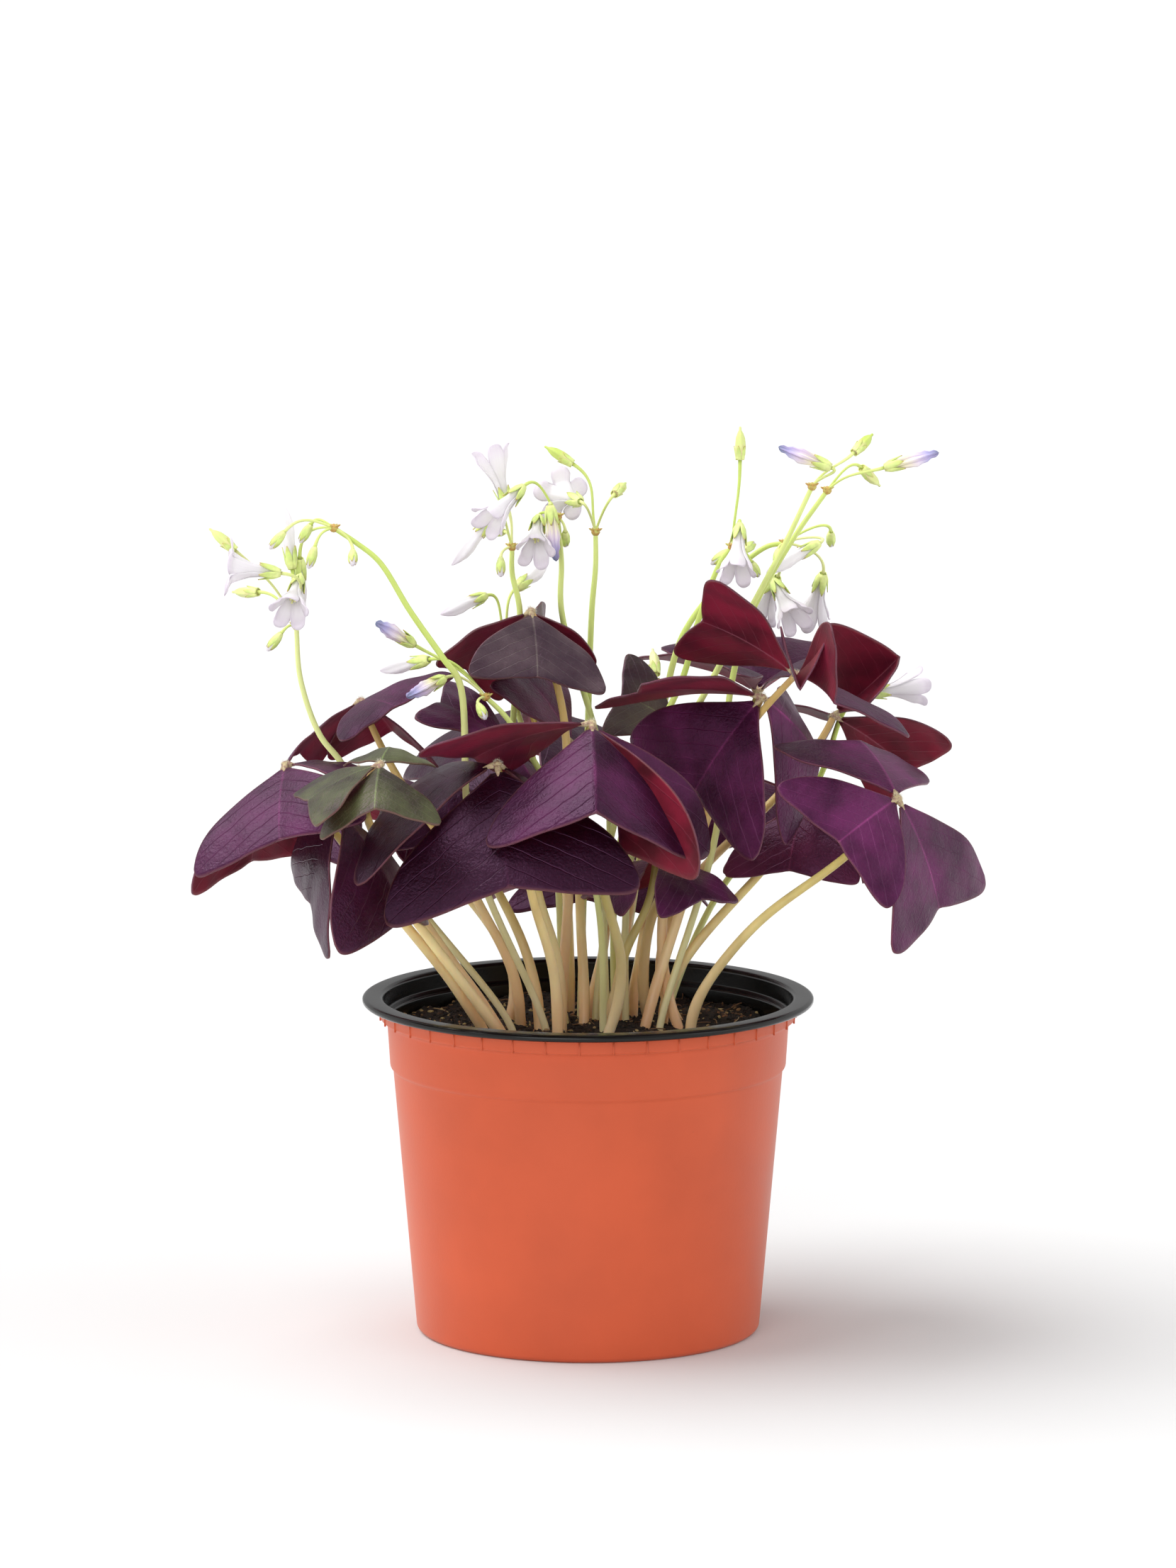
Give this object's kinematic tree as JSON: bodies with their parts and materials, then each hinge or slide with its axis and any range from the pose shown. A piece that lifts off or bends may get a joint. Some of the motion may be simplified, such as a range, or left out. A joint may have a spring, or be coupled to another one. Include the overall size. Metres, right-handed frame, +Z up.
{
  "type": "potted purple shamrock",
  "caption": "Bushy house plant with folded three-part purple leaves on thin stems and pale trumpet flowers, growing in a tapered nursery pot.",
  "frame": {"origin": "centre of the pot's foot, on the surface it stands on", "axes": "+Z up along the pot's axis, -Y towards the front of the plant, +X to its right"},
  "size_m": [0.2084, 0.1773, 0.2394],
  "materials": {
    "pot": "thin moulded orange plastic with a black inner layer and a black rolled rim",
    "soil": "loose dark peat and bark potting mix",
    "leaf": "soft satin purple leaf, wine red below",
    "petiole": "smooth translucent cream to tan stem",
    "flower_stalk": "smooth pale green stalk with white to lilac petals"
  },
  "bodies": {
    "root": {"pot": "pot", "soil": "soil", "front_centre_blade": "leaf", "front_centre_petiole": "petiole", "front_left_blade": "leaf", "front_left_petiole": "petiole", "front_right_blade": "leaf", "front_right_petiole": "petiole", "top_blade": "leaf", "top_petiole": "petiole", "left_green_blade": "leaf", "left_green_petiole": "petiole", "far_left_blade": "leaf", "far_left_petiole": "petiole", "far_right_blade": "leaf", "far_right_petiole": "petiole", "upper_right_blade": "leaf", "upper_right_petiole": "petiole", "right_back_blade": "leaf", "right_back_petiole": "petiole", "upper_left_blade": "leaf", "upper_left_petiole": "petiole", "low_left_blade": "leaf", "low_left_petiole": "petiole", "centre_green_blade": "leaf", "centre_green_petiole": "petiole", "inner_left_blade": "leaf", "inner_left_petiole": "petiole", "inner_centre_blade": "leaf", "inner_centre_petiole": "petiole", "low_back_blade": "leaf", "low_back_petiole": "petiole", "under_left_blade": "leaf", "under_left_petiole": "petiole", "under_right_blade": "leaf", "under_right_petiole": "petiole", "under_centre_blade": "leaf", "under_centre_petiole": "petiole", "back_left_blade": "leaf", "back_left_petiole": "petiole", "back_centre_blade": "leaf", "back_centre_petiole": "petiole", "back_right_blade": "leaf", "back_right_petiole": "petiole", "back_upper_right_blade": "leaf", "back_upper_right_petiole": "petiole", "left_tall_stalk": "flower_stalk", "left_arching_stalk": "flower_stalk", "front_low_stalk": "flower_stalk", "top_left_stalk": "flower_stalk", "top_low_stalk": "flower_stalk", "top_centre_stalk": "flower_stalk", "top_right_stalk": "flower_stalk", "right_tall_stalk": "flower_stalk", "right_leaning_stalk": "flower_stalk", "right_front_stalk": "flower_stalk", "right_outer_stalk": "flower_stalk", "right_low_stalk": "flower_stalk", "centre_pod_stalk": "flower_stalk"}
  },
  "joints": []
}
